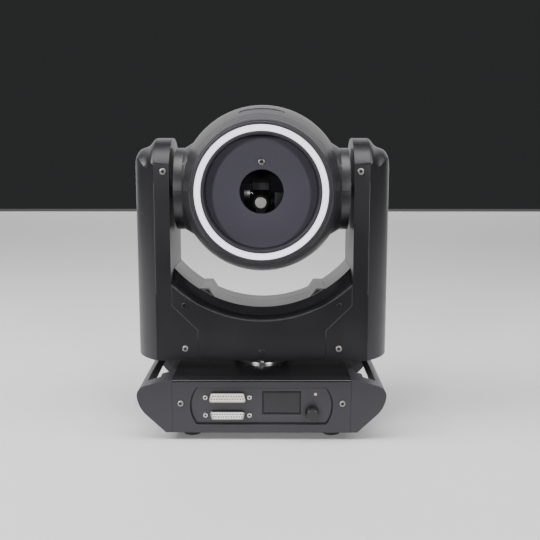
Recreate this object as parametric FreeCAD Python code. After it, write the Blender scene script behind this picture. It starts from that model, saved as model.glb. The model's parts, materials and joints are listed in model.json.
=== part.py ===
import FreeCAD, Part
import math
import os

# Moving head light: a laser head with a light ring, tilting in a U-shaped yoke that pans on a flat base.
# Millimetres. The origin is on the floor under the pan axis, +Z is up and the head looks along -Y.

# Driving dimensions: base
FOOT_HEIGHT = 8.0
BASE_TOP = 66.0
BASE_HALF_WIDTH = 95.3
BASE_HALF_DEPTH = 94.4
SHEET = 2.0
SKIN = 2.5
SEAM = 0.15
SIDE_HALF_WIDTH = 133.0
GRIP_BLOCK = 20.0
GRIP_INNER = 123.5
SIDE_WALL = 101.0
GRIP_STEP_X = 110.0
GRIP_STEP_Y = 62.0
BRACKET_HOLE_X = 70.0
BRACKET_HOLE_Y = 53.0
BRACKET_HOLE_R = 4.25

# Driving dimensions: control panel in the base's front
PANEL_FACE = -91.4
PANEL_CENTRE_Z = 37.3
PANEL_HALF_HEIGHT = 20.3
PANEL_HALF_WIDTH = 69.2
PANEL_BULGE = 7.0
PORT_X = -36.3
PORT_UPPER_Z = 46.8
PORT_LOWER_Z = 27.1
JACKSCREW_SPACING = 47.04
DISPLAY_X = 21.5
DISPLAY_Z = 40.2
DISPLAY_WIDTH = 40.6
DISPLAY_HEIGHT = 25.5
LED_X = 57.7
LED_Z = 49.6
KNOB_X = 54.0
KNOB_Z = 30.0
KNOB_R = 7.5
KNOB_FRONT = -104.0
KNOB_BACK = -93.0
COVER_SCREW_X = 86.2
COVER_SCREW_Z = 40.5

# Driving dimensions: pan drive
SPINDLE_R = 15.0
SPINDLE_BORE = 10.0
SPINDLE_TOP = 102.0
FLANGE_R = 33.0
FLANGE_THICKNESS = 2.0
FLANGE_BOLT_CIRCLE = 27.0
FLANGE_BOLT_COUNT = 8
PAN_BEARING_R = 24.0
PAN_PULLEY_R = 30.0
PAN_MOTOR_PULLEY_R = 8.0
PAN_MOTOR_X = 62.0
PAN_MOTOR_Y = 6.0
PAN_BELT_Z = 91.0
RUNNING = 0.05
BELT_CLEARANCE = 0.3
BELT_THICKNESS = 1.3
BELT_WIDTH = 6.0
PULLEY_WIDTH = 8.0
TILT_BELT_WIDTH = 4.5
TILT_PULLEY_WIDTH = 6.5
SEAT = 0.15

# Driving dimensions: yoke
TILT_Z = 263.15
YOKE_BOTTOM = 74.9
YOKE_HALF_DEPTH = 49.6
ARM_GAP = 99.85
ARM_EDGE = 117.0
ARM_HALF_WIDTH = 143.2
ARM_BULGE_R = 60.05
EAR_R = 57.0
SADDLE_R = 133.1
PLATE_R = 142.8
RECESS_Y = -19.3
CORNER_R = 22.0
HUB_HOLE_R = 12.5
PLATE_SHOULDER = [(99.4, 137.4), (71.0, 109.4), (70.6, 60.0)]
BUMP = [(53.5, 130.0), (54.5, 141.4), (60.8, 151.2), (71.0, 151.2), (74.0, 140.0)]
POCKET = [(67.6, 149.9), (61.7, 149.9), (57.4, 143.4)]
POCKET_DEPTH = 3.0
BAND_SEAM_Y = 18.0
BAND_SEAM_WIDTH = 0.6
BAND_SEAM_DEPTH = 0.6
BAND_SEAM_REACH = 50.0
ROOF = [(120.7, 54.9), (124.6, 50.2), (130.2, 46.8), (135.4, 44.9), (139.2, 41.0), (141.3, 33.5),
        (142.8, 16.0)]

# Driving dimensions: tilt drive
TILT_SPINDLE_R = 10.0
TILT_SPINDLE_BORE = 7.0
TILT_BEARING_R = 16.0
TILT_PULLEY_R = 24.0
TILT_MOTOR_PULLEY_R = 6.0
TILT_BELT_X = -130.0
TILT_MOTOR_Z = 168.0
UPRIGHT_INNER = 104.0
UPRIGHT_OUTER = 107.0

# Driving dimensions: head
HEAD_R = 94.3
HEAD_FRONT = -81.0
HEAD_REAR = 104.0
DOME_R = 260.0
DOME_MIDDLE = 20.0
DOME_FRONT = -71.0
DOME_REAR = 62.0
RIM_R = 73.8
HALO_OUTER = 70.3
HALO_INNER = 63.8
LIP_R = 60.0
FRONT_PLATE_Y = -63.0
APERTURE_R = 23.4
APERTURE_Z = 263.5
CAP_R = 62.0
HUB_R = 46.1
HUB_END = 96.3
FLARE_START = 76.0
FLARE_END = 87.0
FLARE_R = 53.0
SLOT_HALF = 25.0
SLOT_Y = -38.5
SLOT_WIDTH = 12.0
SLOT_DEPTH = 0.9

# Driving dimensions: beam steering
MIRROR_Y = -40.0
TILT_MIRROR_Z = 260.6
PAN_MIRROR_Z = 251.3
MIRROR_X = -1.0
GALVO_R = 7.0
FRONT_GALVO_R = 6.2
GALVO_SHAFT_R = 1.5
FAN_Y = 80.0
FAN_R = 36.0

X_AXIS = FreeCAD.Vector(1, 0, 0)
Y_AXIS = FreeCAD.Vector(0, 1, 0)
Z_AXIS = FreeCAD.Vector(0, 0, 1)


def box(x, y, z):
    """A block between pairs of limits along X, Y and Z."""
    corner = FreeCAD.Vector(min(x), min(y), min(z))
    return Part.makeBox(abs(x[1] - x[0]), abs(y[1] - y[0]), abs(z[1] - z[0]), corner)


def rod_x(radius, x, y, z):
    """A round bar along X between two x limits."""
    return Part.makeCylinder(radius, abs(x[1] - x[0]), FreeCAD.Vector(min(x), y, z), X_AXIS)


def rod_y(radius, x, y, z):
    """A round bar along Y between two y limits."""
    return Part.makeCylinder(radius, abs(y[1] - y[0]), FreeCAD.Vector(x, min(y), z), Y_AXIS)


def rod_z(radius, x, y, z):
    """A round bar along Z between two z limits."""
    return Part.makeCylinder(radius, abs(z[1] - z[0]), FreeCAD.Vector(x, y, min(z)), Z_AXIS)


def front_prism(points, y):
    """A prism along Y from an outline of (x, z) points."""
    corners = [FreeCAD.Vector(px, min(y), pz) for px, pz in points]
    face = Part.Face(Part.makePolygon(corners + corners[:1]))
    return face.extrude(FreeCAD.Vector(0, abs(y[1] - y[0]), 0))


def head_turning(points):
    """A turned body about the head's front-to-back axis, from (y, radius) points."""
    corners = [FreeCAD.Vector(0, py, TILT_Z + radius) for py, radius in points]
    face = Part.Face(Part.makePolygon(corners + corners[:1]))
    return face.revolve(FreeCAD.Vector(0, 0, TILT_Z), Y_AXIS, 360)


def mirrored(shape):
    """The same shape on the other side of the pan axis."""
    return shape.mirror(FreeCAD.Vector(0, 0, 0), X_AXIS)


def both_sides(shape):
    return [shape, mirrored(shape)]


def ring_of(shape, count, centre, axis):
    """Copies of a shape at equal angles about an axis."""
    copies = []
    for index in range(count):
        copy = shape.copy()
        copy.rotate(centre, axis, 360.0 * index / count)
        copies.append(copy)
    return copies


def pan_screw(x, y, z, outward, head_r=3.6, length=8.0, shank_r=1.5):
    """A cross-head screw whose head stands on a wall at y and whose shank goes in."""
    head = rod_y(head_r, x, (y, y + outward * 1.9), z)
    rim = [edge for edge in head.Edges if abs(edge.CenterOfMass.y - (y + outward * 1.9)) < 0.01]
    head = head.makeFillet(1.0, rim)
    cross = box((x - 1.9, x + 1.9), (y + outward * 0.9, y + outward * 2), (z - 0.4, z + 0.4))
    cross = cross.fuse(box((x - 0.4, x + 0.4), (y + outward * 0.9, y + outward * 2), (z - 1.9, z + 1.9)))
    shank = rod_y(shank_r, x, (y + outward * 0.2, y - outward * length), z)
    return head.cut(cross).fuse(shank)


def belt_loop(radius_a, radius_b, distance, width, thickness):
    """A belt round two pulleys, lying flat on z = 0, the second pulley along +X."""
    swing = math.acos((radius_a - radius_b) / distance)
    loops = []
    for extra in (0.0, thickness):
        big = radius_a + extra
        small = radius_b + extra
        top_a = FreeCAD.Vector(big * math.cos(swing), big * math.sin(swing), 0)
        low_a = FreeCAD.Vector(top_a.x, -top_a.y, 0)
        top_b = FreeCAD.Vector(distance + small * math.cos(swing), small * math.sin(swing), 0)
        low_b = FreeCAD.Vector(top_b.x, -top_b.y, 0)
        edges = [
            Part.Arc(low_a, FreeCAD.Vector(-big, 0, 0), top_a).toShape(),
            Part.LineSegment(top_a, top_b).toShape(),
            Part.Arc(top_b, FreeCAD.Vector(distance + small, 0, 0), low_b).toShape(),
            Part.LineSegment(low_b, low_a).toShape(),
        ]
        loops.append(Part.Face(Part.Wire(edges)).extrude(FreeCAD.Vector(0, 0, width)))
    return loops[1].cut(loops[0])


def pulley(radius, width, bore):
    """A flanged belt pulley along +Z from z = 0."""
    flange = 1.0
    body = rod_z(radius, 0, 0, (0, width))
    for z in ((-flange, 0), (width, width + flange)):
        body = body.fuse(rod_z(radius + 1.8, 0, 0, z))
    if bore:
        body = body.cut(rod_z(bore, 0, 0, (-2 * flange, width + 2 * flange)))
    return body


# ---------------------------------------------------------------- base

def base_chassis():
    floor_z = (FOOT_HEIGHT, FOOT_HEIGHT + SHEET)
    tray = box((-94, 94), (-91.2, 91.2), floor_z)
    for side in (-1, 1):
        tray = tray.fuse(box((side * 92, side * 94), (-91.2, 91.2), (FOOT_HEIGHT, 63.3)))
    bridge_z = (59.5, 63.3)
    tray = tray.fuse(box((-92, 92), (-42, 42), bridge_z))
    tray = tray.cut(rod_z(SPINDLE_BORE + 1, 0, 0, bridge_z))
    for x in (-BRACKET_HOLE_X, BRACKET_HOLE_X):
        for y in (-BRACKET_HOLE_Y, BRACKET_HOLE_Y):
            tray = tray.cut(rod_z(BRACKET_HOLE_R, x, y, (0, 20)))
    bolt = rod_z(2.2, FLANGE_BOLT_CIRCLE, 0, (50, 70))
    for hole in ring_of(bolt, FLANGE_BOLT_COUNT, FreeCAD.Vector(0, 0, 0), Z_AXIS):
        tray = tray.cut(hole)
    return tray


def rubber_feet():
    feet = []
    for x in (-76, 76):
        for y in (-72, 72):
            foot = rod_z(10, x, y, (0, FOOT_HEIGHT))
            rim = [edge for edge in foot.Edges if edge.CenterOfMass.z < 0.01]
            feet.append(foot.makeFillet(1.5, rim))
    return feet


def base_top_cover():
    half_x = BASE_HALF_WIDTH
    half_y = BASE_HALF_DEPTH
    plate = box((-half_x, half_x), (-half_y, half_y), (BASE_TOP - SKIN, BASE_TOP))
    rim = [edge for edge in plate.Edges
           if edge.CenterOfMass.z > BASE_TOP - 0.01 and abs(edge.CenterOfMass.y) > half_y - 0.01]
    plate = plate.makeFillet(1.8, rim)
    bolt = rod_z(2.2, FLANGE_BOLT_CIRCLE, 0, (60, 70))
    for hole in ring_of(bolt, FLANGE_BOLT_COUNT, FreeCAD.Vector(0, 0, 0), Z_AXIS):
        plate = plate.cut(hole)
    return plate.cut(rod_z(SPINDLE_BORE + 1, 0, 0, (60, 70)))


def panel_outline(grow, y):
    """The control panel's outline: flat above and below, bowed out at both ends."""
    half_w = PANEL_HALF_WIDTH + grow
    low = PANEL_CENTRE_Z - PANEL_HALF_HEIGHT - grow
    high = PANEL_CENTRE_Z + PANEL_HALF_HEIGHT + grow
    corners = [FreeCAD.Vector(x, y[0], z) for x in (-half_w, half_w) for z in (low, high)]
    bulge = half_w + PANEL_BULGE
    edges = [
        Part.LineSegment(corners[0], corners[2]).toShape(),
        Part.Arc(corners[2], FreeCAD.Vector(bulge, y[0], PANEL_CENTRE_Z), corners[3]).toShape(),
        Part.LineSegment(corners[3], corners[1]).toShape(),
        Part.Arc(corners[1], FreeCAD.Vector(-bulge, y[0], PANEL_CENTRE_Z), corners[0]).toShape(),
    ]
    return Part.Face(Part.Wire(edges)).extrude(FreeCAD.Vector(0, y[1] - y[0], 0))


def base_front_cover():
    cover_y = (-BASE_HALF_DEPTH, -BASE_HALF_DEPTH + 2.8)
    plate = box((-BASE_HALF_WIDTH, BASE_HALF_WIDTH), cover_y, (FOOT_HEIGHT, BASE_TOP - SKIN - SEAM))
    plate = plate.cut(panel_outline(0, (-100, -80)))
    for x in (-COVER_SCREW_X, COVER_SCREW_X):
        plate = plate.cut(rod_y(1.7, x, (-100, -80), COVER_SCREW_Z))
    return plate


def d_outline(width, height, wide_below, x, z, y):
    """A D-shaped plug outline: one long side is 2 mm shorter at each end."""
    step = 2.0 * (1 if wide_below else -1)
    low = width / 2 - (0 if wide_below else 2.0)
    high = low - step
    points = [(x - low, z - height / 2), (x + low, z - height / 2),
              (x + high, z + height / 2), (x - high, z + height / 2)]
    prism = front_prism(points, y)
    long_edges = [edge for edge in prism.Edges if abs(edge.tangentAt(edge.FirstParameter).y) > 0.99]
    return prism.makeFillet(2.0, long_edges)


def ports():
    return [(39.3, 10.0, True, PORT_X, PORT_UPPER_Z), (37.2, 8.4, False, PORT_X, PORT_LOWER_Z)]


def control_panel():
    plate = panel_outline(2.0, (PANEL_FACE, PANEL_FACE + 2.0))
    for width, height, wide_below, x, z in ports():
        plate = plate.cut(d_outline(width + 0.4, height + 0.4, wide_below, x, z, (-100, -80)))
        for side in (-1, 1):
            plate = plate.cut(rod_y(1.7, x + side * JACKSCREW_SPACING / 2, (-100, -80), z))
    half_w = DISPLAY_WIDTH / 2 + 0.2
    half_h = DISPLAY_HEIGHT / 2 + 0.2
    window = box((DISPLAY_X - half_w, DISPLAY_X + half_w), (-100, -80),
                 (DISPLAY_Z - half_h, DISPLAY_Z + half_h))
    plate = plate.cut(window)
    plate = plate.cut(rod_y(1.7, LED_X, (-100, -80), LED_Z))
    return plate.cut(rod_y(3.7, KNOB_X, (-100, -80), KNOB_Z))


def data_connectors():
    """Metal shells of two 25-pin sockets, each an open D with a flange behind the panel."""
    shells = []
    for width, height, wide_below, x, z in ports():
        shell = d_outline(width, height, wide_below, x, z, (-96.0, -86.0))
        flange = box((x - 26.5, x + 26.5), (PANEL_FACE + 2.1, PANEL_FACE + 3.1), (z - 6.2, z + 6.2))
        shell = shell.fuse(flange)
        shell = shell.cut(d_outline(width - 1.0, height - 1.0, wide_below, x, z, (-97, -85)))
        for side in (-1, 1):
            shell = shell.cut(rod_y(1.7, x + side * JACKSCREW_SPACING / 2, (-100, -80), z))
        shells.append(shell)
    return shells


def data_connector_inserts():
    """Moulded inserts with thirteen contacts in one row and twelve in the other."""
    inserts = []
    for width, height, wide_below, x, z in ports():
        insert = d_outline(width - 1.4, height - 1.4, wide_below, x, z, (-95.2, -85.6))
        for row, count in ((1, 13), (-1, 12)):
            row_z = z - row * 1.42 if wide_below else z + row * 1.42
            for index in range(count):
                hole_x = x + (index - (count - 1) / 2.0) * 2.77
                insert = insert.cut(rod_y(0.6, hole_x, (-96, -91), row_z))
        inserts.append(insert)
    return inserts


def connector_jackscrews():
    """Hexagonal threaded posts beside each data socket."""
    posts = []
    for width, height, wide_below, x, z in ports():
        for side in (-1, 1):
            post_x = x + side * JACKSCREW_SPACING / 2
            corners = [(post_x + 2.7 * math.cos(math.radians(a)), z + 2.7 * math.sin(math.radians(a)))
                       for a in range(30, 390, 60)]
            post = front_prism(corners, (-94.6, PANEL_FACE - 0.1))
            post = post.fuse(rod_y(1.55, post_x, (PANEL_FACE - 0.2, -86.2), z))
            posts.append(post.cut(rod_y(1.2, post_x, (-95, -88.6), z)))
    return posts


def display_module():
    """Flat colour display: a window plate with its module behind."""
    half_w = DISPLAY_WIDTH / 2
    half_h = DISPLAY_HEIGHT / 2
    window = box((DISPLAY_X - half_w, DISPLAY_X + half_w), (-91.0, -88.9),
                 (DISPLAY_Z - half_h, DISPLAY_Z + half_h))
    body_w = half_w - 0.5
    body_h = half_h - 0.5
    body = box((DISPLAY_X - body_w, DISPLAY_X + body_w), (-89.0, -84.6),
               (DISPLAY_Z - body_h, DISPLAY_Z + body_h))
    return window.fuse(body)


def status_led():
    lens = rod_y(1.5, LED_X, (-92.0, -86.0), LED_Z)
    return lens.makeFillet(0.6, [edge for edge in lens.Edges if edge.CenterOfMass.y < -91.9])


def encoder_body():
    """Rotary encoder: a square can behind the panel and a threaded neck through it."""
    can = box((KNOB_X - 6, KNOB_X + 6), (PANEL_FACE + 2.2, -84.4), (KNOB_Z - 6, KNOB_Z + 6))
    neck = rod_y(3.5, KNOB_X, (-92.4, PANEL_FACE + 3), KNOB_Z)
    return can.fuse(neck).cut(rod_y(2.6, KNOB_X, (-95, -85.6), KNOB_Z))


def encoder_plunger():
    """The encoder's push sleeve, which the knob's shaft turns in."""
    sleeve = rod_y(2.5, KNOB_X, (-92.6, -87.0), KNOB_Z)
    return sleeve.cut(rod_y(1.6, KNOB_X, (-93, -88.0), KNOB_Z))


def control_knob():
    """Push-and-turn knob with a finely grooved skirt and a hollow back."""
    cone = Part.makeCone(KNOB_R, KNOB_R - 0.7, KNOB_BACK - KNOB_FRONT,
                         FreeCAD.Vector(KNOB_X, KNOB_BACK, KNOB_Z), FreeCAD.Vector(0, -1, 0))
    front = [edge for edge in cone.Edges if edge.CenterOfMass.y < KNOB_FRONT + 0.01]
    knob = cone.makeFillet(1.0, front)
    knob = knob.cut(rod_y(5.4, KNOB_X, (KNOB_BACK + 1, KNOB_BACK - 2.0), KNOB_Z))
    groove = box((KNOB_X + KNOB_R - 0.75, KNOB_X + KNOB_R + 1), (KNOB_BACK + 1, KNOB_FRONT + 2.2),
                 (KNOB_Z - 0.3, KNOB_Z + 0.3))
    for cut in ring_of(groove, 24, FreeCAD.Vector(KNOB_X, 0, KNOB_Z), Y_AXIS):
        knob = knob.cut(cut)
    return knob.fuse(rod_y(1.5, KNOB_X, (KNOB_BACK - 3.0, -88.6), KNOB_Z))


def rear_ports():
    """Centres of the rear sockets: mains inlet, signal in and signal out."""
    return {"inlet": (-55.0, 36.0), "signal": [(5.0, 36.0), (45.0, 36.0)]}


def base_rear_cover():
    cover_y = (BASE_HALF_DEPTH - 2.8, BASE_HALF_DEPTH)
    plate = box((-BASE_HALF_WIDTH, BASE_HALF_WIDTH), cover_y, (FOOT_HEIGHT, BASE_TOP - SKIN - SEAM))
    inlet_x, inlet_z = rear_ports()["inlet"]
    plate = plate.cut(box((inlet_x - 14.2, inlet_x + 14.2), (80, 100), (inlet_z - 10.2, inlet_z + 10.2)))
    for x, z in rear_ports()["signal"]:
        plate = plate.cut(rod_y(12.2, x, (80, 100), z))
    for x in (-COVER_SCREW_X, COVER_SCREW_X):
        plate = plate.cut(rod_y(1.7, x, (80, 100), COVER_SCREW_Z))
    return plate


def power_inlet():
    """Mains inlet: a flanged housing with an open cavity and three blades."""
    x, z = rear_ports()["inlet"]
    flange = box((x - 24, x + 24), (94.5, 96.6), (z - 13.5, z + 13.5))
    upright = [edge for edge in flange.Edges if abs(edge.tangentAt(edge.FirstParameter).y) > 0.99]
    housing = flange.makeFillet(4, upright)
    housing = housing.fuse(box((x - 14, x + 14), (74, 95), (z - 10, z + 10)))
    housing = housing.cut(box((x - 12, x + 12), (78, 100), (z - 8, z + 8)))
    for blade_x, blade_z in ((x - 7, z - 2), (x, z + 2), (x + 7, z - 2)):
        housing = housing.fuse(box((blade_x - 1, blade_x + 1), (77, 88), (blade_z - 2, blade_z + 2)))
    return housing


def signal_connectors():
    """Three-pole round sockets for the control signal, in and out."""
    sockets = []
    for x, z in rear_ports()["signal"]:
        flange = box((x - 13, x + 13), (94.5, 96.4), (z - 15.5, z + 15.5))
        upright = [edge for edge in flange.Edges if abs(edge.tangentAt(edge.FirstParameter).y) > 0.99]
        socket = flange.makeFillet(3, upright)
        socket = socket.fuse(rod_y(12.0, x, (76, 95), z))
        socket = socket.cut(rod_y(9.6, x, (80, 100), z))
        for turn in (90, 210, 330):
            pin_x = x + 4.5 * math.cos(math.radians(turn))
            pin_z = z + 4.5 * math.sin(math.radians(turn))
            socket = socket.fuse(rod_y(1.2, pin_x, (79, 88), pin_z))
        sockets.append(socket)
    return sockets


def side_outline(y):
    """A side cover's hexagon-like section, seen from the front, extruded along Y."""
    start = FreeCAD.Vector(BASE_HALF_WIDTH + SEAM, y[0], BASE_TOP)
    shoulder = FreeCAD.Vector(103.5, y[0], BASE_TOP - 0.2)
    brow = FreeCAD.Vector(125.2, y[0], 59.2)
    nose = FreeCAD.Vector(SIDE_HALF_WIDTH, y[0], 47.0)
    chin = FreeCAD.Vector(122.0, y[0], 26.2)
    heel = FreeCAD.Vector(102.5, y[0], FOOT_HEIGHT)
    base = FreeCAD.Vector(BASE_HALF_WIDTH + SEAM, y[0], FOOT_HEIGHT)
    edges = [
        Part.LineSegment(start, shoulder).toShape(),
        Part.LineSegment(shoulder, brow).toShape(),
        Part.Arc(brow, FreeCAD.Vector(131.4, y[0], 54.3), nose).toShape(),
        Part.Arc(nose, FreeCAD.Vector(129.9, y[0], 36.6), chin).toShape(),
        Part.LineSegment(chin, heel).toShape(),
        Part.LineSegment(heel, base).toShape(),
        Part.LineSegment(base, start).toShape(),
    ]
    return Part.Face(Part.Wire(edges)).extrude(FreeCAD.Vector(0, y[1] - y[0], 0))


def side_cover():
    """Moulded side cover: two end blocks, an inner wall and a grip bar along the outer edge."""
    half = BASE_HALF_DEPTH
    inside = half - GRIP_BLOCK
    body = side_outline((-half, half))
    hollow = front_prism([(SIDE_WALL, 80), (SIDE_WALL, 0), (140, 0), (140, 43), (GRIP_INNER, 43),
                          (GRIP_INNER, 80)], (-inside, inside))
    for end in (-1, 1):
        corner = box((90, GRIP_STEP_X), (end * GRIP_STEP_Y, end * half), (0, 80))
        hollow = hollow.cut(corner)
    body = body.cut(hollow)
    for end in (-1, 1):
        body = body.cut(box((90, 118), (end * (half - SKIN), end * (inside + SKIN)), (24, 56)))
    return body


def base_screws():
    """Cover screws on the base's front and rear, and the bolts that hold the pan flange."""
    screws = []
    for side in (-1, 1):
        screws.append(pan_screw(side * COVER_SCREW_X, -BASE_HALF_DEPTH, COVER_SCREW_Z, -1, 3.2))
        screws.append(pan_screw(side * COVER_SCREW_X, BASE_HALF_DEPTH, COVER_SCREW_Z, 1, 3.2))
    flange_top = BASE_TOP + FLANGE_THICKNESS
    bolt = rod_z(3.4, FLANGE_BOLT_CIRCLE, 0, (flange_top, flange_top + 3.2))
    bolt = bolt.cut(rod_z(1.6, FLANGE_BOLT_CIRCLE, 0, (flange_top + 1.2, flange_top + 4)))
    bolt = bolt.fuse(rod_z(2.0, FLANGE_BOLT_CIRCLE, 0, (57, flange_top + 0.5)))
    return screws + ring_of(bolt, FLANGE_BOLT_COUNT, FreeCAD.Vector(0, 0, 0), Z_AXIS)


def pan_spindle():
    """Hollow pan spindle with its bolted flange; the wiring passes up its bore."""
    spindle = rod_z(FLANGE_R, 0, 0, (BASE_TOP, BASE_TOP + FLANGE_THICKNESS))
    spindle = spindle.fuse(rod_z(SPINDLE_R, 0, 0, (BASE_TOP, SPINDLE_TOP)))
    spindle = spindle.cut(rod_z(SPINDLE_BORE, 0, 0, (60, 120)))
    bolt = rod_z(2.2, FLANGE_BOLT_CIRCLE, 0, (60, 75))
    for hole in ring_of(bolt, FLANGE_BOLT_COUNT, FreeCAD.Vector(0, 0, 0), Z_AXIS):
        spindle = spindle.cut(hole)
    return spindle


def pan_pulley():
    """Large pulley fixed to the spindle; the pan motor walks the yoke round it."""
    wheel = pulley(PAN_PULLEY_R, PULLEY_WIDTH, SPINDLE_R + 0.02)
    wheel.translate(FreeCAD.Vector(0, 0, PAN_BELT_Z - PULLEY_WIDTH / 2))
    return wheel


def power_supply():
    case = box((-88, -24), (-36, 66), (10.2, 50))
    terminals = box((-84, -50), (66, 72), (14, 30))
    slots = [box((-80 + 8 * index, -77 + 8 * index), (-20, 50), (48.5, 51)) for index in range(7)]
    case = case.fuse(terminals)
    for slot in slots:
        case = case.cut(slot)
    return case


def control_board():
    """Main circuit board with its processor, heat spreader and plugs."""
    board = box((-10, 86), (-70, 62), (16, 17.6))
    for x in (-6, 82):
        for y in (-66, 58):
            board = board.fuse(rod_z(2.5, x, y, (10.05, 16.2)))
    board = board.fuse(box((20, 40), (-20, 0), (17.5, 24)))
    for index in range(4):
        board = board.fuse(box((54 + index * 7, 59 + index * 7), (20, 50), (17.5, 28)))
    return board


# ---------------------------------------------------------------- yoke

def roof_outline(inset):
    """The S-shaped outline over an arm as (x, radius from the tilt axis), inset by a wall thickness."""
    points = [(ARM_EDGE, EAR_R), (ARM_EDGE + 1.8, EAR_R - 0.5)] + ROOF + [(ARM_HALF_WIDTH, 0)]
    moved = [(ARM_EDGE, EAR_R - inset)]
    for before, here, after in zip(points[:-2], points[1:-1], points[2:]):
        along = (after[0] - before[0], after[1] - before[1])
        length = math.hypot(along[0], along[1])
        moved.append((here[0] + along[1] / length * inset, here[1] - along[0] / length * inset))
    moved.append((ARM_HALF_WIDTH - inset, 0))
    return [point for point in moved if point[0] >= ARM_EDGE]


def arm_outer_half(inset):
    """The bulged outer part of the right arm: a round-sided column under an S-shaped roof."""
    y_in = YOKE_HALF_DEPTH - inset
    side = ARM_HALF_WIDTH - inset
    bottom = YOKE_BOTTOM + inset
    corner = CORNER_R - inset
    bulge_x = ARM_HALF_WIDTH - ARM_BULGE_R
    column = rod_z(ARM_BULGE_R - inset, bulge_x, 0, (bottom, TILT_Z + EAR_R))
    column = column.common(box((ARM_EDGE, side + 1), (-y_in, y_in), (bottom, TILT_Z + EAR_R)))

    outline = [FreeCAD.Vector(x, 0, radius) for x, radius in roof_outline(inset)]
    curve = Part.BSplineCurve()
    curve.interpolate(outline)
    edges = [curve.toShape()]
    low = FreeCAD.Vector(ARM_EDGE, 0, 0)
    edges.append(Part.LineSegment(outline[-1], low).toShape())
    edges.append(Part.LineSegment(low, outline[0]).toShape())
    roof = Part.Face(Part.Wire(edges)).revolve(FreeCAD.Vector(0, 0, 0), X_AXIS, 360)
    roof.translate(FreeCAD.Vector(0, 0, TILT_Z))
    under = box((ARM_EDGE, side + 1), (-y_in, y_in), (bottom, TILT_Z))
    body = column.common(roof.fuse(under))

    notch = box((side - corner, side + 5), (-60, 60), (bottom - 5, bottom + corner))
    notch = notch.cut(rod_y(corner, side - corner, (-60, 60), bottom + corner))
    return body.cut(notch)


def arm_inner_half(inset):
    """The flat-sided inner part of the right arm with its round ear."""
    y_in = YOKE_HALF_DEPTH - inset
    x = (ARM_GAP + inset, ARM_EDGE + 0.5)
    column = box(x, (-y_in, y_in), (YOKE_BOTTOM + inset, TILT_Z))
    ear = rod_x(EAR_R - inset, x, 0, TILT_Z).common(box(x, (-y_in, y_in), (TILT_Z, 400)))
    edge_plane = (ARM_GAP + inset, ARM_EDGE)
    return column.fuse(ear).common(box(edge_plane, (-60, 60), (0, 400)))


def saddle_solid(inset):
    """The body that joins the arms, hollowed by the cylinder that the head swings in."""
    y_in = YOKE_HALF_DEPTH - inset
    reach = ARM_GAP + inset + 1.0
    body = box((-reach, reach), (-y_in, y_in), (YOKE_BOTTOM + inset, 190))
    body = body.cut(rod_y(SADDLE_R + inset, 0, (-60, 60), TILT_Z))
    body = body.cut(rod_y(PLATE_R + inset, 0, (-60, RECESS_Y + inset), TILT_Z))
    if inset == 0:
        wedge = front_prism(BUMP, (RECESS_Y, y_in))
        wedge = wedge.common(rod_y(SADDLE_R + 8, 0, (-60, 60), TILT_Z))
        wedge = wedge.cut(front_prism(POCKET, (RECESS_Y, RECESS_Y + POCKET_DEPTH)))
        for piece in both_sides(wedge):
            body = body.fuse(piece)
    return body


def yoke_solid(inset):
    """Everything inside the yoke's outer faces, or inside its walls when inset by their thickness."""
    body = saddle_solid(inset)
    for half in (arm_inner_half(inset), arm_outer_half(inset)):
        for piece in both_sides(half):
            body = body.fuse(piece)
    return body


def yoke_skin():
    skin = yoke_solid(0).cut(yoke_solid(SKIN))
    frame_seat = box((-107.2, 107.2), (-47.0, 47.0), (70, YOKE_BOTTOM + SKIN + 0.9))
    skin = skin.cut(frame_seat)
    return skin


def plate_region(grow, y):
    """The middle plates' outline: a stepped foot under the round hollow."""
    right = [(px - grow, pz) for px, pz in PLATE_SHOULDER]
    points = [(right[0][0], 200)] + right
    points = points + [(-px, pz) for px, pz in reversed(points)]
    return front_prism(points, y)


def yoke_screw_places():
    """Where the yoke's cover screws sit, as (x, z)."""
    places = [(0.0, 84.7)]
    for side in (-1, 1):
        places.append((side * 85.2, 137.3))
        places.append((side * 85.2, 88.7))
        places.append((side * 106.3, 284.3))
    return places


def screw_holes():
    holes = []
    for x, z in yoke_screw_places():
        holes.append(rod_y(1.7, x, (-60, -40), z))
        holes.append(rod_y(1.7, x, (40, 60), z))
    return Part.makeCompound(holes)


def band_seam():
    """The fine groove along the middle of the saddle, between its two bumps."""
    half = BAND_SEAM_WIDTH / 2
    groove = rod_y(SADDLE_R + BAND_SEAM_DEPTH, 0, (BAND_SEAM_Y - half, BAND_SEAM_Y + half), TILT_Z)
    return groove.common(box((-BAND_SEAM_REACH, BAND_SEAM_REACH), (-60, 60), (100, 200)))


def yoke_covers():
    """The yoke's skin cut into its moulded covers, with a fine seam between neighbours."""
    skin = yoke_skin().cut(screw_holes())
    wall = YOKE_HALF_DEPTH - SKIN
    inner = ARM_GAP - SEAM
    covers = {}
    front = plate_region(SEAM, (-60, -wall))
    rear = plate_region(SEAM, (wall, 60))
    covers["yoke_front_plate"] = skin.common(front)
    covers["yoke_rear_plate"] = skin.common(rear)
    between = box((-inner, inner), (-wall + SEAM, wall - SEAM), (100, 300))
    saddle = skin.common(between).common(rod_y(SADDLE_R + 14, 0, (-60, 60), TILT_Z))
    covers["saddle_cover"] = saddle.cut(band_seam())
    arm = skin.common(box((60, ARM_EDGE - SEAM / 2), (-60, 60), (0, 400)))
    arm = arm.cut(plate_region(0, (-60, 60)))
    arm = arm.cut(box((0, ARM_GAP), (-wall, wall), (0, 400)))
    arm = arm.cut(rod_x(HUB_HOLE_R, (90, 110), 0, TILT_Z))
    outer = skin.common(box((ARM_EDGE + SEAM / 2, 200), (-60, 60), (0, 400)))
    covers["arm_inner_cover_right"] = arm
    covers["arm_inner_cover_left"] = mirrored(arm)
    covers["arm_outer_cover_right"] = outer
    covers["arm_outer_cover_left"] = mirrored(outer)
    return covers


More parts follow.
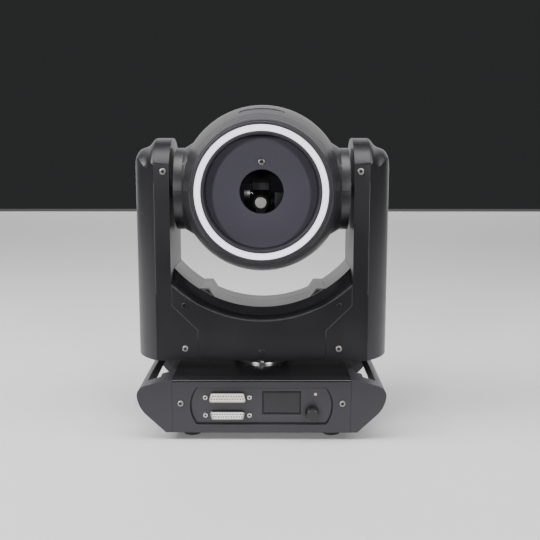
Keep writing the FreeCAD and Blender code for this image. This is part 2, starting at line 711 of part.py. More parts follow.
def yoke_screws():
    screws = []
    for x, z in yoke_screw_places():
        screws.append(pan_screw(x, -YOKE_HALF_DEPTH, z, -1))
        screws.append(pan_screw(x, YOKE_HALF_DEPTH, z, 1))
    return screws


def yoke_frame():
    """Pressed steel U that carries the pan bearing, both motors and the tilt bearings."""
    floor_z = (YOKE_BOTTOM + 0.2, YOKE_BOTTOM + 3.2)
    frame = box((-UPRIGHT_OUTER, UPRIGHT_OUTER), (-46.8, 46.8), floor_z)
    for side in (-1, 1):
        x = (side * UPRIGHT_INNER, side * UPRIGHT_OUTER)
        frame = frame.fuse(box(x, (-30, 30), (YOKE_BOTTOM + 0.2, TILT_Z)))
        frame = frame.fuse(rod_x(30, x, 0, TILT_Z))
    frame = frame.cut(rod_x(TILT_BEARING_R + SEAT, (-120, 120), 0, TILT_Z))
    frame = frame.fuse(rod_z(30, 0, 0, (floor_z[0], 83.0)))
    frame = frame.cut(rod_z(PAN_BEARING_R + SEAT, 0, 0, (70, 90)))
    frame = frame.cut(rod_x(2.9, (-120, -90), 0, TILT_MOTOR_Z))
    return frame


def pan_bearing():
    ring = rod_z(PAN_BEARING_R, 0, 0, (YOKE_BOTTOM + 0.2, 83.0))
    return ring.cut(rod_z(SPINDLE_R + RUNNING, 0, 0, (70, 90)))


def tilt_bearings():
    ring = rod_x(TILT_BEARING_R, (UPRIGHT_INNER - 0.5, UPRIGHT_OUTER + 2), 0, TILT_Z)
    return both_sides(ring.cut(rod_x(TILT_SPINDLE_R + RUNNING, (90, 120), 0, TILT_Z)))


def stepper(half, length, shaft_r):
    """A square motor along +Z from z = 0 with a shaft bore in its top face."""
    body = box((-half, half), (-half, half), (0, length))
    upright = [edge for edge in body.Edges if abs(edge.tangentAt(edge.FirstParameter).z) > 0.99]
    body = body.makeChamfer(3.5, upright)
    body = body.fuse(rod_z(11, 0, 0, (length - 0.1, length + 1.2)))
    return body.cut(rod_z(shaft_r + RUNNING, 0, 0, (length - 12, length + 3)))


def pan_motor():
    """Stepper hung over the pan belt with its shaft pointing down, on two posts."""
    motor = stepper(21.1, 27.0, 2.5)
    motor.rotate(FreeCAD.Vector(0, 0, 0), X_AXIS, 180)
    motor.translate(FreeCAD.Vector(PAN_MOTOR_X, PAN_MOTOR_Y, 128.5))
    for y in (-17, 17):
        motor = motor.fuse(rod_z(2.5, PAN_MOTOR_X + 17, PAN_MOTOR_Y + y, (YOKE_BOTTOM + 3.2, 104)))
    return motor


def pan_motor_pulley():
    wheel = pulley(PAN_MOTOR_PULLEY_R, PULLEY_WIDTH, 0)
    wheel.translate(FreeCAD.Vector(PAN_MOTOR_X, PAN_MOTOR_Y, PAN_BELT_Z - PULLEY_WIDTH / 2))
    return wheel.fuse(rod_z(2.5, PAN_MOTOR_X, PAN_MOTOR_Y, (PAN_BELT_Z, 110)))


def pan_belt():
    distance = math.hypot(PAN_MOTOR_X, PAN_MOTOR_Y)
    belt = belt_loop(PAN_PULLEY_R + BELT_CLEARANCE, PAN_MOTOR_PULLEY_R + BELT_CLEARANCE,
                     distance, BELT_WIDTH, BELT_THICKNESS)
    belt.rotate(FreeCAD.Vector(0, 0, 0), Z_AXIS, math.degrees(math.atan2(PAN_MOTOR_Y, PAN_MOTOR_X)))
    belt.translate(FreeCAD.Vector(0, 0, PAN_BELT_Z - BELT_WIDTH / 2))
    return belt


def tilt_motor():
    """Flat stepper on the left upright with its shaft pointing outwards."""
    motor = stepper(21.1, 16.6, 2.5)
    motor.rotate(FreeCAD.Vector(0, 0, 0), Y_AXIS, -90)
    motor.translate(FreeCAD.Vector(-UPRIGHT_OUTER, 0, TILT_MOTOR_Z))
    return motor


def tilt_motor_pulley():
    wheel = pulley(TILT_MOTOR_PULLEY_R, TILT_PULLEY_WIDTH, 0)
    wheel.translate(FreeCAD.Vector(0, 0, -TILT_PULLEY_WIDTH / 2))
    wheel = wheel.fuse(rod_z(2.5, 0, 0, (-18, 0)))
    wheel.rotate(FreeCAD.Vector(0, 0, 0), Y_AXIS, -90)
    wheel.translate(FreeCAD.Vector(TILT_BELT_X, 0, TILT_MOTOR_Z))
    return wheel


def tilt_belt():
    belt = belt_loop(TILT_PULLEY_R + BELT_CLEARANCE, TILT_MOTOR_PULLEY_R + BELT_CLEARANCE,
                     TILT_Z - TILT_MOTOR_Z, TILT_BELT_WIDTH, BELT_THICKNESS)
    belt.translate(FreeCAD.Vector(0, 0, -TILT_BELT_WIDTH / 2))
    belt.rotate(FreeCAD.Vector(0, 0, 0), Y_AXIS, 90)
    belt.translate(FreeCAD.Vector(TILT_BELT_X, 0, TILT_Z))
    return belt


# ---------------------------------------------------------------- head

def dome_radius(y):
    """Radius of the head's barrel curve at a place along its axis."""
    return HEAD_R - DOME_R + math.sqrt(DOME_R ** 2 - (y - DOME_MIDDLE) ** 2)


def head_profile(inset):
    """Outline of the head's casing, inset by a wall thickness: (y, radius) points from the axis."""
    face = HEAD_FRONT + 1.6
    brow = DOME_FRONT - 1.2
    brow_radius = dome_radius(DOME_FRONT)
    front_face = [(face, 0.0), (face, RIM_R + 1.2), (face + 1.0, RIM_R + 2.2), (brow, brow_radius - 0.3)]
    groove = [(brow + 0.1, brow_radius - 1.0), (DOME_FRONT, brow_radius - 1.0)]
    steps = 14
    places = [DOME_FRONT + (DOME_REAR - DOME_FRONT) * i / steps for i in range(steps + 1)]
    dome = [(y, dome_radius(y)) for y in places]
    rear = [(72.0, 88.2), (82.0, 83.4), (90.0, 77.0), (95.5, 70.6), (98.6, 64.4)]
    outline = front_face + groove + dome + rear
    if inset:
        outline = front_face[:3] + dome + rear
    return [(y, max(radius - inset, 0.0)) for y, radius in outline] + [(rear[-1][0], 0.0)]


def head_skin():
    """Hollow casing with two flared hubs for the tilt spindles, open at the front and at the rear."""
    outer = head_turning(head_profile(0))
    inner = head_turning(head_profile(SKIN))
    hub = rod_x(HUB_R, (-HUB_END, HUB_END), 0, TILT_Z)
    foot = FreeCAD.Vector(FLARE_START, 0, TILT_Z)
    flare = Part.makeCone(FLARE_R, HUB_R, FLARE_END - FLARE_START, foot, X_AXIS)
    for piece in both_sides(flare):
        hub = hub.fuse(piece)
    hub_room = rod_x(HUB_R - SKIN, (-HUB_END + SKIN, HUB_END - SKIN), 0, TILT_Z)
    casing = outer.fuse(hub).cut(inner).cut(hub_room)
    casing = casing.cut(rod_x(TILT_SPINDLE_R + 0.2, (-110, 110), 0, TILT_Z))
    casing = casing.cut(rod_y(RIM_R + 0.1, 0, (-90, -60), TILT_Z))
    casing = casing.cut(rod_y(CAP_R + 0.1, 0, (80, 110), TILT_Z))
    return casing.cut(top_slot())


def top_slot():
    """The shallow recess with rounded ends on the head's crown, its floor following the barrel curve."""
    front = SLOT_Y - SLOT_WIDTH / 2
    back = SLOT_Y + SLOT_WIDTH / 2
    floor = [(front, dome_radius(front) - SLOT_DEPTH), (back, dome_radius(back) - SLOT_DEPTH)]
    ring = head_turning(floor + [(back, HEAD_R + 5), (front, HEAD_R + 5)])
    straight = SLOT_HALF - SLOT_WIDTH / 2
    outline = box((-straight, straight), (front, back), (TILT_Z + 50, 400))
    for x in (-straight, straight):
        outline = outline.fuse(rod_z(SLOT_WIDTH / 2, x, SLOT_Y, (TILT_Z + 50, 400)))
    return ring.common(outline)


def head_shells():
    skin = head_skin()
    upper = skin.common(box((-150, 150), (-150, 150), (TILT_Z + SEAM, 400)))
    lower = skin.common(box((-150, 150), (-150, 150), (100, TILT_Z - SEAM)))
    return upper, lower


def head_rear_cap():
    """Rear cap with rings of air slots."""
    cap = head_turning([(98.8, 0), (98.8, 64.3), (100.5, 64.0), (HEAD_REAR, CAP_R), (HEAD_REAR, 0)])
    cap = cap.fuse(head_turning([(92.5, 58.0), (92.5, 61.8), (99.0, 61.8), (99.0, 58.0)]))
    for inner, outer in ((12, 16), (20, 24), (28, 32), (36, 40), (44, 48), (52, 55)):
        ring = rod_y(outer, 0, (90, 110), TILT_Z).cut(rod_y(inner, 0, (90, 110), TILT_Z))
        for turn in range(4):
            spoke = box((-3, 3), (90, 110), (TILT_Z, TILT_Z + 60))
            spoke.rotate(FreeCAD.Vector(0, 0, TILT_Z), Y_AXIS, 90 * turn + 45)
            ring = ring.cut(spoke)
        cap = cap.cut(ring.common(box((-70, 70), (98, 110), (0, 400))))
    return cap


def front_bezel():
    """Turned bezel with a channel for the light ring and a deep well for the front plate."""
    front = HEAD_FRONT
    channel_back = front + 8.0
    section = [
        (front, LIP_R + 1.0), (front, HALO_INNER - 0.3), (channel_back, HALO_INNER - 0.3),
        (channel_back, HALO_OUTER + 0.2), (front, HALO_OUTER + 0.2), (front, RIM_R - 1.0),
        (front + 1.0, RIM_R), (channel_back + 2.5, RIM_R), (channel_back + 2.5, LIP_R + 2.5),
        (FRONT_PLATE_Y + 4.5, LIP_R + 2.5), (FRONT_PLATE_Y + 4.5, LIP_R - 4.0),
        (FRONT_PLATE_Y + 2.1, LIP_R - 4.0), (FRONT_PLATE_Y + 2.1, LIP_R), (front + 1.0, LIP_R),
    ]
    return head_turning(section)


def halo_diffuser():
    front = HEAD_FRONT
    return head_turning([(front + 0.3, HALO_INNER), (front + 0.3, HALO_OUTER), (front + 3.5, HALO_OUTER),
                         (front + 3.5, HALO_INNER)])


def halo_led_board():
    """Ring board behind the diffuser with its light sources."""
    back = HEAD_FRONT + 7.9
    board = head_turning([(back - 1.6, HALO_INNER + 0.1), (back - 1.6, HALO_OUTER - 0.1),
                          (back, HALO_OUTER - 0.1), (back, HALO_INNER + 0.1)])
    led_z = TILT_Z + (HALO_INNER + HALO_OUTER) / 2
    led = box((-2.5, 2.5), (back - 3.0, back - 1.5), (led_z - 2.5, led_z + 2.5))
    for chip in ring_of(led, 36, FreeCAD.Vector(0, 0, TILT_Z), Y_AXIS):
        board = board.fuse(chip)
    return board


def front_plate():
    plate = rod_y(LIP_R - 0.15, 0, (FRONT_PLATE_Y, FRONT_PLATE_Y + 2.0), TILT_Z)
    plate = plate.cut(rod_y(APERTURE_R, 0, (-80, -50), APERTURE_Z))
    return plate.cut(rod_y(1.8, 0, (-80, -50), 295.0))


def plate_screw():
    return pan_screw(0, FRONT_PLATE_Y, 295.0, -1, 3.6, 7.5)


def aperture_glass():
    return rod_y(APERTURE_R + 2.5, 0, (FRONT_PLATE_Y + 2.1, FRONT_PLATE_Y + 4.1), APERTURE_Z)


def head_frame():
    """Folded plate between the tilt spindles; the optics, heat sink and fan stand on it."""
    frame = box((-71, 71), (-54, 64), (231, 234))
    for side in (-1, 1):
        frame = frame.fuse(box((side * 68, side * 71), (-30, 30), (231, 296)))
    frame = frame.fuse(box((-38, 38), (63, 66), (231, 236)))
    return frame.cut(rod_x(TILT_SPINDLE_BORE, (-80, 80), 0, TILT_Z))


def tilt_spindles():
    """Hollow spindles bolted to the head's frame; the left one is long and takes the pulley."""
    spindles = []
    for side, end in ((1, 112.0), (-1, 135.0)):
        x_end = side * end
        spindle = rod_x(TILT_SPINDLE_R, (side * 71, x_end), 0, TILT_Z)
        spindle = spindle.fuse(rod_x(22, (side * 71, side * 75), 0, TILT_Z))
        spindles.append(spindle.cut(rod_x(TILT_SPINDLE_BORE, (side * 60, side * 145), 0, TILT_Z)))
    return spindles


def tilt_pulley():
    wheel = pulley(TILT_PULLEY_R, TILT_PULLEY_WIDTH, TILT_SPINDLE_R + 0.02)
    wheel.translate(FreeCAD.Vector(0, 0, -TILT_PULLEY_WIDTH / 2))
    wheel.rotate(FreeCAD.Vector(0, 0, 0), Y_AXIS, -90)
    wheel.translate(FreeCAD.Vector(TILT_BELT_X, 0, TILT_Z))
    return wheel


def galvo_block():
    """Milled block that holds both mirror motors in front of the laser module, with a dark baffle behind."""
    block = box((-38, 67.5), (-57.5, -24), (234, 240))
    post = box((-26, -19), (-52, -28), (239, 272))
    clamp = box((-20, -11), (-46, -34), (258, 271.6))
    baffle = box((-38, 67), (-27, -24), (239, 300))
    plate = box((-10.6, 7.9), (-29, -26), (263, 277))
    body = block.fuse(post).fuse(clamp).fuse(baffle).fuse(plate)
    body = body.cut(rod_x(GALVO_R + RUNNING, (-40, 0), MIRROR_Y, TILT_MIRROR_Z))
    sleeve = rod_y(FRONT_GALVO_R + 2.2, MIRROR_X, (-57, -49), PAN_MIRROR_Z)
    sleeve = sleeve.fuse(box((MIRROR_X - 5, MIRROR_X + 5), (-57, -49), (239, PAN_MIRROR_Z - 5)))
    sleeve = sleeve.cut(rod_y(FRONT_GALVO_R + RUNNING, MIRROR_X, (-70, -40), PAN_MIRROR_Z))
    return body.fuse(sleeve)


def galvo_motors():
    """Two small mirror motors, one across the beam and one facing forward."""
    across = rod_x(GALVO_R, (-36, -13), MIRROR_Y, TILT_MIRROR_Z)
    across = across.cut(rod_x(GALVO_SHAFT_R + RUNNING, (-18, -10), MIRROR_Y, TILT_MIRROR_Z))
    ahead = rod_y(FRONT_GALVO_R, MIRROR_X, (-57.6, -48), PAN_MIRROR_Z)
    front = [edge for edge in ahead.Edges if edge.CenterOfMass.y < -57.5]
    ahead = ahead.makeFillet(0.8, front)
    ahead = ahead.cut(rod_y(GALVO_SHAFT_R + RUNNING, MIRROR_X, (-52, -40), PAN_MIRROR_Z))
    return [across, ahead]


def tilt_mirror():
    """Mirror that sweeps the beam up and down, on a shaft along X."""
    glass = box((MIRROR_X - 9, MIRROR_X + 9), (-0.5, 0.5), (-5.0, 5.0))
    glass.rotate(FreeCAD.Vector(0, 0, 0), X_AXIS, 45)
    glass.translate(FreeCAD.Vector(0, MIRROR_Y, TILT_MIRROR_Z))
    return glass.fuse(rod_x(GALVO_SHAFT_R, (-16, MIRROR_X - 7), MIRROR_Y, TILT_MIRROR_Z))


def pan_mirror():
    """Mirror that sweeps the beam from side to side, on a shaft along Y."""
    glass = box((-3.8, 3.8), (-45.5, -34.5), (-0.5, 0.5))
    glass.rotate(FreeCAD.Vector(0, 0, 0), Y_AXIS, -45)
    glass.translate(FreeCAD.Vector(MIRROR_X, 0, PAN_MIRROR_Z))
    return glass.fuse(rod_y(GALVO_SHAFT_R, MIRROR_X, (-50.5, -43.5), PAN_MIRROR_Z))


def laser_module():
    case = box((14, 66), (-50, -30), (240.1, 262))
    nose = rod_x(4, (10, 14.1), MIRROR_Y, PAN_MIRROR_Z)
    return case.fuse(nose).cut(rod_x(1.5, (9, 18), MIRROR_Y, PAN_MIRROR_Z))


def heat_sink():
    """Extruded cooler whose fins stand in the fan's draught."""
    sink = box((-52, 52), (-8, 62), (234.1, 240))
    for index in range(15):
        x = -51 + index * 7.25
        sink = sink.fuse(box((x - 0.75, x + 0.75), (-8, 62), (239.5, 292)))
    return sink


def fan_housing():
    half = 40.0
    y = (FAN_Y - 10.5, FAN_Y + 10.5)
    frame = box((-half, half), y, (TILT_Z - half, TILT_Z + half))
    upright = [edge for edge in frame.Edges if abs(edge.tangentAt(edge.FirstParameter).y) > 0.99]
    frame = frame.makeFillet(6, upright)
    frame = frame.cut(rod_y(FAN_R + 1.2, 0, (60, 100), TILT_Z))
    spokes = rod_y(14, 0, (FAN_Y - 10.5, FAN_Y - 7.5), TILT_Z)
    arm = box((-1.5, 1.5), (FAN_Y - 10.5, FAN_Y - 8.5), (TILT_Z, TILT_Z + 38))
    for spoke in ring_of(arm, 3, FreeCAD.Vector(0, 0, TILT_Z), Y_AXIS):
        spokes = spokes.fuse(spoke)
    hub_bore = rod_y(1.55, 0, (FAN_Y - 12, FAN_Y - 5), TILT_Z)
    return frame.fuse(spokes).cut(hub_bore)


def fan_rotor():
    """Fan impeller with seven pitched blades on a round hub."""
    rotor = rod_y(13, 0, (FAN_Y - 6.5, FAN_Y + 8.5), TILT_Z)
    blade = box((-0.7, 0.7), (-9.5, 9.5), (11.5, FAN_R - 0.5))
    blade.rotate(FreeCAD.Vector(0, 0, 0), Z_AXIS, 50)
    blade.translate(FreeCAD.Vector(0, FAN_Y + 1.0, TILT_Z))
    keep = rod_y(FAN_R - 0.3, 0, (FAN_Y - 6, FAN_Y + 8), TILT_Z)
    for vane in ring_of(blade.common(keep), 7, FreeCAD.Vector(0, 0, TILT_Z), Y_AXIS):
        rotor = rotor.fuse(vane)
    return rotor.fuse(rod_y(1.5, 0, (FAN_Y - 10, FAN_Y - 6), TILT_Z))


def save(name, shape):
    """Write one sub-part, as one solid or as a group of separate solids."""
    pieces = shape if isinstance(shape, list) else [shape]
    solids = [solid for piece in pieces for solid in piece.Solids]
    whole = solids[0] if len(solids) == 1 else Part.makeCompound(solids)
    whole.exportStep("parts/" + name + ".step")
    volume = sum(solid.Volume for solid in solids)
    print(name, len(solids), "solid(s)", round(volume, 1), "mm3", "valid" if whole.isValid() else "INVALID")


os.makedirs("parts", exist_ok=True)

for maker in (base_chassis, rubber_feet, base_top_cover, base_front_cover, base_rear_cover,
              control_panel, data_connectors, data_connector_inserts, connector_jackscrews,
              display_module, status_led, encoder_body, encoder_plunger, control_knob,
              power_inlet, signal_connectors, base_screws, pan_spindle, pan_pulley,
              power_supply, control_board, yoke_screws, yoke_frame, pan_bearing, tilt_bearings,
              pan_motor, pan_motor_pulley, pan_belt, tilt_motor, tilt_motor_pulley, tilt_belt,
              head_rear_cap, front_bezel, halo_diffuser, halo_led_board, front_plate, plate_screw,
              aperture_glass, head_frame, tilt_spindles, tilt_pulley, galvo_block, galvo_motors,
              tilt_mirror, pan_mirror, laser_module, heat_sink, fan_housing, fan_rotor):
    save(maker.__name__, maker())

side = side_cover()
save("side_cover_right", side)
save("side_cover_left", mirrored(side))

for cover_name, cover in yoke_covers().items():
    save(cover_name, cover)

upper_shell, lower_shell = head_shells()
save("head_upper_shell", upper_shell)
save("head_lower_shell", lower_shell)
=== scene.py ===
import json
import math

import bpy
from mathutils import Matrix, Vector

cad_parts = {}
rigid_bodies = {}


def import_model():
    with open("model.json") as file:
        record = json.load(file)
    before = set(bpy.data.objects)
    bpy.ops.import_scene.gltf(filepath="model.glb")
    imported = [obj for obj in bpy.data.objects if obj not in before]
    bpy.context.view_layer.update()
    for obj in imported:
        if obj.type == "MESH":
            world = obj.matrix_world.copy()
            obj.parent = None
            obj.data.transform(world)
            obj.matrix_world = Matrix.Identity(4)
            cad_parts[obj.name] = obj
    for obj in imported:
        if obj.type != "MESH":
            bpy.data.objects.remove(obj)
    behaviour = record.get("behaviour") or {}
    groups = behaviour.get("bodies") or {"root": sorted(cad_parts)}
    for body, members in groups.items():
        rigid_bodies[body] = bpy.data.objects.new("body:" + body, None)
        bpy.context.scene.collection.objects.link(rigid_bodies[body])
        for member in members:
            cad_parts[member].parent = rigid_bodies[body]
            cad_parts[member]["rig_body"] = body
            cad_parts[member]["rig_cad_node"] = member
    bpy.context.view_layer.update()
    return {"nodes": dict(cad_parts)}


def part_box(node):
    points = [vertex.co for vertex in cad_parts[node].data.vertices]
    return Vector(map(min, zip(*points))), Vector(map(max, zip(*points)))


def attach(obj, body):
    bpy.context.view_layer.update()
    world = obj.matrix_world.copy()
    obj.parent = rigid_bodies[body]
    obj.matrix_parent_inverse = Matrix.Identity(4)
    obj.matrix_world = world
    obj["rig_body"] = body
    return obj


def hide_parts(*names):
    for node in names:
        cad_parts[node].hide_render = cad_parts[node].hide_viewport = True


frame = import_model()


# ---------------------------------------------------------------------------------------------
# Chassis tray. A folded sheet-steel tray that closes the base from below and carries the pan
# spindle on a bridge. It is powder-coated black, and its folds are slightly rounded.

def let_go():
    """Leave edit mode and select nothing."""
    if bpy.context.object and bpy.context.object.mode == "EDIT":
        bpy.ops.object.mode_set(mode="OBJECT")
    bpy.ops.object.select_all(action="DESELECT")


def take(piece):
    """Make one piece the selected and active one."""
    let_go()
    piece.select_set(True)
    bpy.context.view_layer.objects.active = piece


class Wire:
    """A shader socket that Python's signs work on: each sign adds a Math node."""

    def __init__(self, finish, socket):
        self.finish = finish
        self.socket = socket

    def math(self, operation, other=0.0):
        """This value first, the other one second."""
        return self.finish.add("ShaderNodeMath", {"operation": operation}, {0: self, 1: other})

    def __add__(self, other):
        return self.math("ADD", other)

    __radd__ = __add__

    def __mul__(self, other):
        return self.math("MULTIPLY", other)

    def __sub__(self, other):
        return self.math("SUBTRACT", other)

    def __rsub__(self, other):
        return self.finish.add("ShaderNodeMath", {"operation": "SUBTRACT"}, {0: other, 1: self})

    def __truediv__(self, other):
        return self.math("DIVIDE", other)

    def __pow__(self, other):
        return self.math("POWER", other)

    def __abs__(self):
        return self.math("ABSOLUTE")

    def __gt__(self, other):
        return self.math("GREATER_THAN", other)

    def __lt__(self, other):
        return self.math("LESS_THAN", other)

    def at_least(self, other):
        return self.math("MAXIMUM", other)

    def at_most(self, other):
        return self.math("MINIMUM", other)

    def whole_part(self):
        return self.math("FLOOR")


class Finish:
    """A material in the making, with one Principled shader."""

    def __init__(self, name, **constants):
        self.material = bpy.data.materials.new(name)
        self.material.use_nodes = True
        self.tree = self.material.node_tree
        self.shader = self.tree.nodes["Principled BSDF"]
        for socket, value in constants.items():
            self.shader.inputs[socket.replace("_", " ")].default_value = value
        self.place = self.add("ShaderNodeTexCoord", output="Object")

    def add(self, kind, settings=None, values=None, output=0):
        """Add a node: its settings first, then the values or links of its sockets."""
        node = self.tree.nodes.new(kind)
        for name, value in (settings or {}).items():
            setattr(node, name, value)
        for name, value in (values or {}).items():
            self.feed(node.inputs[name], value)
        return Wire(self, node.outputs[output])

    def feed(self, socket, value):
        """Link a wire to a socket, or set a plain value on it."""
        if isinstance(value, Wire):
            self.tree.links.new(value.socket, socket)
        else:
            socket.default_value = value

    def noise(self, scale, detail=2.0, roughness=0.5):
        """A grey noise between 0 and 1; scale is in grains per metre."""
        values = {"Vector": self.place, "Scale": scale, "Detail": detail, "Roughness": roughness}
        return self.add("ShaderNodeTexNoise", {"noise_dimensions": "3D"}, values)

    def blend(self, amount, low, high):
        """A colour between two colours, each a wire or plain red, green and blue."""
        ends = [end if isinstance(end, Wire) else (*end, 1.0) for end in (low, high)]
        values = {0: amount, 6: ends[0], 7: ends[1]}
        return self.add("ShaderNodeMix", {"data_type": "RGBA"}, values, output=2)

    def axis(self, name):
        """One of the X, Y and Z coordinates of the surface, in metres."""
        return self.add("ShaderNodeSeparateXYZ", None, {0: self.place}, output=name)

    def stroke(self, start, end, half_width):
        """1 on a line between two points of the front view, drawn on both sides of the middle."""
        run, rise = end[0] - start[0], end[1] - start[1]
        across, upright = abs(self.axis("X")) - start[0], self.axis("Z") - start[1]
        along = (across * run + upright * rise) / (run * run + rise * rise)
        along = along.at_least(0.0).at_most(1.0)
        return (across - along * run) ** 2.0 + (upright - along * rise) ** 2.0 < half_width ** 2

    def strokes(self, *lines):
        """All the lines together; each gives its start, its end and half its width."""
        return sum(self.stroke(*line) for line in lines)

    def vary(self, socket, wire):
        """Let a wire vary one of the shader's own sockets."""
        self.feed(self.shader.inputs[socket], wire)

    def colour(self, wire):
        self.vary("Base Color", wire)

    def rough(self, wire):
        self.vary("Roughness", wire)

    def bump(self, height, strength, distance):
        """Relief from a height between 0 and 1 that stands for the distance in metres."""
        values = {"Height": height, "Strength": strength, "Distance": distance}
        self.vary("Normal", self.add("ShaderNodeBump", None, values))


def powder_coat():
    """Black powder coat: a fine orange peel under a satin gloss."""
    finish = Finish("black_powder_coat", Specular_IOR_Level=0.45)
    peel = finish.noise(900, detail=2.0)
    cloud = finish.noise(30, detail=3.0)
    finish.colour(finish.blend(cloud, (0.016, 0.017, 0.018), (0.026, 0.027, 0.029)))
    finish.rough(peel * 0.12 + 0.42)
    finish.bump(peel, strength=0.35, distance=0.00012)
    return finish.material


def dress(piece, *materials):
    """Give a piece its finish, and a second one for rolled edges that have their own."""
    piece.data.materials.clear()
    for material in materials:
        piece.data.materials.append(material)


def from_cad(node, name):
    """A merged copy of a CAD node's mesh, to be rounded, finished and shown in its place."""
    let_go()
    source = frame["nodes"][node]
    piece = source.copy()
    piece.data = source.data.copy()
    piece.parent = None
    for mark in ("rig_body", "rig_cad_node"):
        del piece[mark]
    piece.name = name
    bpy.context.scene.collection.objects.link(piece)
    take(piece)
    bpy.ops.mesh.customdata_custom_splitnormals_clear()
    bpy.ops.object.mode_set(mode="EDIT")
    bpy.ops.mesh.select_all(action="SELECT")
    same_point = 0.000002
    same_plane = math.radians(0.6)
    bpy.ops.mesh.remove_doubles(threshold=same_point)
    bpy.ops.mesh.dissolve_limited(angle_limit=same_plane)
    bpy.ops.object.mode_set(mode="OBJECT")
    return piece


def apply_last(piece):
    """Make the newest modifier part of the mesh."""
    take(piece)
    bpy.ops.object.modifier_apply(modifier=piece.modifiers[-1].name)


def smooth_faces(piece, angle):
    """Shade faces as one where they meet at less than the angle, in degrees."""
    take(piece)
    bpy.ops.object.shade_smooth_by_angle(angle=math.radians(angle))


def round_edges(piece, width, segments=3, own_finish=False):
    """Roll every sharp edge, as a mould or a folding press does, for a second finish if wanted."""
    sharp_angle = 32
    if own_finish:
        dress(piece, None, None)
    bevel = piece.modifiers.new("rolled edge", "BEVEL")
    bevel.material = 1 if own_finish else -1
    bevel.width = width
    bevel.segments = segments
    bevel.limit_method = "ANGLE"
    bevel.angle_limit = math.radians(sharp_angle)
    bevel.miter_outer = "MITER_ARC"
    apply_last(piece)
    smooth_faces(piece, 40)
    normals = piece.modifiers.new("even shading", "WEIGHTED_NORMAL")
    normals.keep_sharp = True
    apply_last(piece)


def mount_piece(piece, body, slot, *nodes):
    """Say what the finished piece rides on and hide the parts it stands for; the slot it would take its
    finish from is not used.
    """
    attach(piece, body)
    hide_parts(*nodes)


black_coat = powder_coat()
tray = from_cad("base_chassis", "chassis_tray")
round_edges(tray, width=0.0005)
dress(tray, black_coat)
mount_piece(tray, "base", "chassis_steel", "base_chassis")


# ---------------------------------------------------------------------------------------------
# Rubber feet. Four thick discs of soft black rubber, screwed under the tray near its corners.
# Their lower rims are rounded, and the rubber is dull and a little dusty.

def matt_rubber():
    """Soft black rubber with a trace of dust."""
    finish = Finish("matt_rubber", Specular_IOR_Level=0.3)
    dust = finish.noise(140, detail=4.0)
    finish.colour(finish.blend(dust, (0.012, 0.012, 0.012), (0.030, 0.029, 0.028)))
    finish.rough(dust * 0.15 + 0.72)
    finish.bump(finish.noise(2500, detail=2.0), strength=0.3, distance=0.0001)
    return finish.material


rubber = matt_rubber()
feet = from_cad("rubber_feet", "foot_discs")
round_edges(feet, width=0.0006)
dress(feet, rubber)
mount_piece(feet, "base", "rubber", "rubber_feet")


# ---------------------------------------------------------------------------------------------
# Base covers. Moulded in black ABS: a polished flat top, and textured front, rear and sides.
# Each side cover has two end blocks, an inner wall and a grip bar along its outer edge.

def moulded_black(name, low, high, rough, grain):
    """Spark-eroded moulding texture: a fine grain over a slightly uneven satin surface."""
    finish = Finish(name, Specular_IOR_Level=0.5)
    texture = finish.noise(2600, detail=2.0, roughness=0.6)
    cloud = finish.noise(18, detail=3.0)
    rub = finish.noise(70, detail=5.0, roughness=0.65)
    finish.colour(finish.blend(cloud * 0.7 + texture * 0.3, low, high))
    finish.rough(rub * 0.14 + texture * 0.06 + rough)
    finish.bump(texture, strength=grain, distance=0.00008)
    return finish.material


def polished_black():
    """Polished black moulding with faint wiping marks and a little dust."""
    finish = Finish("polished_black", Specular_IOR_Level=0.55, Coat_Roughness=0.06)
    wipe = finish.noise(26, detail=4.0, roughness=0.6)
    dust = finish.noise(3800, detail=1.0) > 0.74
    finish.colour(finish.blend(dust * 0.25, (0.008, 0.008, 0.009), (0.10, 0.10, 0.105)))
    finish.rough(wipe * 0.10 + dust * 0.3 + 0.16)
    finish.vary("Coat Weight", wipe * 0.3 + 0.2)
    finish.bump(finish.noise(9, detail=2.0), strength=0.12, distance=0.0006)
    return finish.material


base_casing = moulded_black("base_plastic", low=(0.018, 0.0175, 0.022), high=(0.027, 0.0262, 0.032),
                            rough=0.29, grain=0.35)
for node, name, finish, slot in (("base_top_cover", "base_lid", polished_black(), "gloss_top"),
                                 ("base_front_cover", "base_fascia", base_casing, "casing"),
                                 ("base_rear_cover", "base_back", base_casing, "casing"),
                                 ("side_cover_left", "grip_side_left", base_casing, "casing"),
                                 ("side_cover_right", "grip_side_right", base_casing, "casing")):
    cover = from_cad(node, name)
    round_edges(cover, width=0.0008)
    dress(cover, finish)
    mount_piece(cover, "base", slot, node)


# ---------------------------------------------------------------------------------------------
# Control panel. A smooth black moulding behind the front cover's opening. It carries everything
# that the user reaches from the front.

def panel_moulding():
    """Satin panel; a band round its outline, with bowed ends, is painted near black as the shadow of the
    cover's opening.
    """
    middle_height = 0.0373
    half_length = 0.0748
    half_height = 0.0188
    bow = 17.0
    finish = Finish("panel_plastic", Specular_IOR_Level=0.5)
    texture = finish.noise(2600, detail=2.0, roughness=0.6)
    cloud = finish.noise(20, detail=3.0)
    across = abs(finish.axis("X"))
    upright = abs(finish.axis("Z") - middle_height)
    past_end = across + upright ** 2.0 * bow - half_length
    # Painted shadow: the band round the panel's outline is coloured near black.
    border = past_end.at_least(upright - half_height) > 0.0
    body = finish.blend(cloud, (0.025, 0.0242, 0.0295), (0.034, 0.0330, 0.0400))
    finish.colour(finish.blend(border, body, (0.004, 0.004, 0.005)))
    finish.rough(cloud * 0.1 + texture * 0.06 + border * 0.3 + 0.30)
    finish.bump(texture, strength=0.15, distance=0.00008)
    return finish.material


panel = from_cad("control_panel", "panel_plate")
round_edges(panel, width=0.0003)
dress(panel, panel_moulding())
mount_piece(panel, "base", "panel", "control_panel")


# ---------------------------------------------------------------------------------------------
# Data sockets. Two 25-pin sockets with drawn and nickel-plated shells round glass-filled
# mouldings. A threaded post on each side takes the plug's screw.

